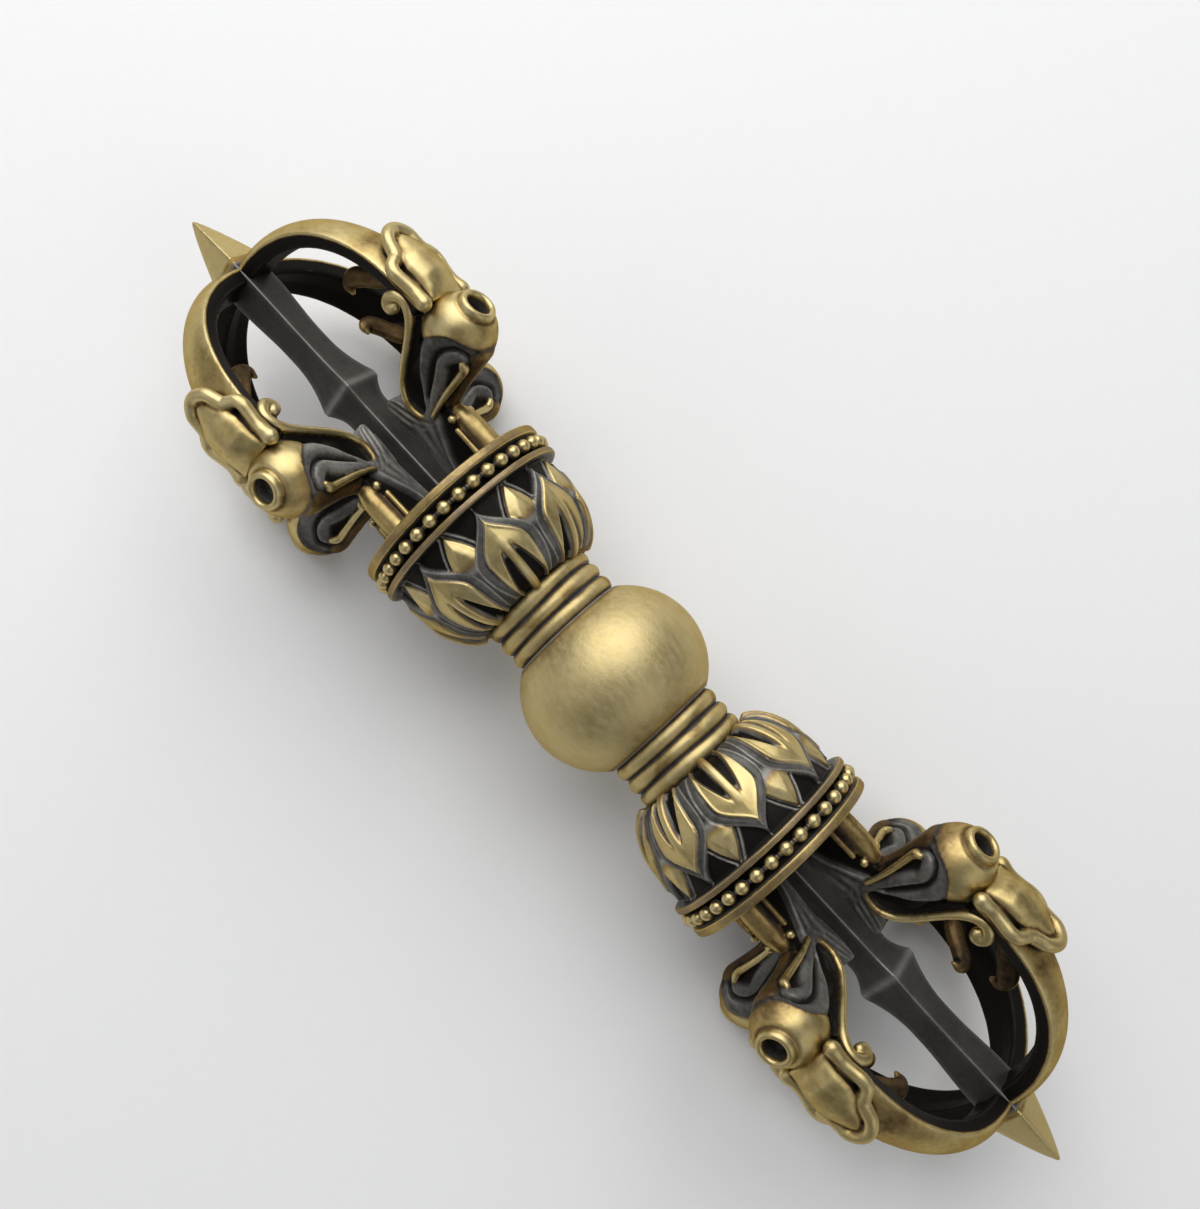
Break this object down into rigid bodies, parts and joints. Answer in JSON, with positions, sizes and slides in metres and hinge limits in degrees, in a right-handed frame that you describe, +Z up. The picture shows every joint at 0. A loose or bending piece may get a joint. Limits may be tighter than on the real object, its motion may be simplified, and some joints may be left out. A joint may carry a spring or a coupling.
{
  "type": "dorje vajra",
  "caption": "Double-ended five-pronged vajra in antique brass: plain globe grip, ringed collars, lotus bowls with pearl rims, and prongs curving from makara heads to spear tips.",
  "frame": {"origin": "centre of the globe, which is the centre of the bounding box", "axes": "+X along the vajra's axis from the globe to the right-hand tip, +Z up with the outer prongs at 45 degrees to it, so that it lies on two heads at each end"},
  "size_m": [0.175, 0.0406, 0.0406],
  "materials": {
    "satin_brass": "satin, finely brushed, darker in the grooves",
    "antique_brass": "antique brass, rubbed bright on raised edges, black patina in the hollows",
    "bead_brass": "rubbed beads on a dark wire",
    "black_patina": "black patina, satin, lighter on the edges",
    "stud_brass": "plain turned brass"
  },
  "bodies": {
    "hub": {"hub_globe": "satin_brass", "tie_stud": "stud_brass"},
    "left_collar": {"left_ring_collar": "satin_brass"},
    "left_end": {"left_lotus_bowl": "antique_brass", "left_pearl_rim": "antique_brass", "left_bead_wire": "bead_brass", "left_seat_disc": "black_patina", "left_central_prong": "black_patina", "left_head_top_front": "antique_brass", "left_head_top_back": "antique_brass", "left_head_low_front": "antique_brass", "left_head_low_back": "antique_brass", "left_prong_top_front": "antique_brass", "left_prong_top_back": "antique_brass", "left_prong_low_front": "antique_brass", "left_prong_low_back": "antique_brass"},
    "right_collar": {"right_ring_collar": "satin_brass"},
    "right_end": {"right_lotus_bowl": "antique_brass", "right_pearl_rim": "antique_brass", "right_bead_wire": "bead_brass", "right_seat_disc": "black_patina", "right_central_prong": "black_patina", "right_head_top_front": "antique_brass", "right_head_top_back": "antique_brass", "right_head_low_front": "antique_brass", "right_head_low_back": "antique_brass", "right_prong_top_front": "antique_brass", "right_prong_top_back": "antique_brass", "right_prong_low_front": "antique_brass", "right_prong_low_back": "antique_brass"}
  },
  "joints": [
    {"name": "left_thread_travel", "type": "slide", "parent": "hub", "child": "left_collar", "axis": [-1, 0, 0], "range_m": [0, 0.00625]},
    {"name": "left_unscrew", "type": "hinge", "parent": "left_collar", "child": "left_end", "pos_m": [-0.0162, 0, 0], "axis": [-1, 0, 0], "range_deg": [0, 1810]},
    {"name": "right_thread_travel", "type": "slide", "parent": "hub", "child": "right_collar", "axis": [1, 0, 0], "range_m": [0, 0.00625]},
    {"name": "right_unscrew", "type": "hinge", "parent": "right_collar", "child": "right_end", "pos_m": [0.0162, 0, 0], "axis": [1, 0, 0], "range_deg": [0, 1810]}
  ],
  "couplings": [
    {"joint": "left_unscrew", "follows": "left_thread_travel", "rad_per_m": 5026.5},
    {"joint": "right_unscrew", "follows": "right_thread_travel", "rad_per_m": 5026.5}
  ]
}
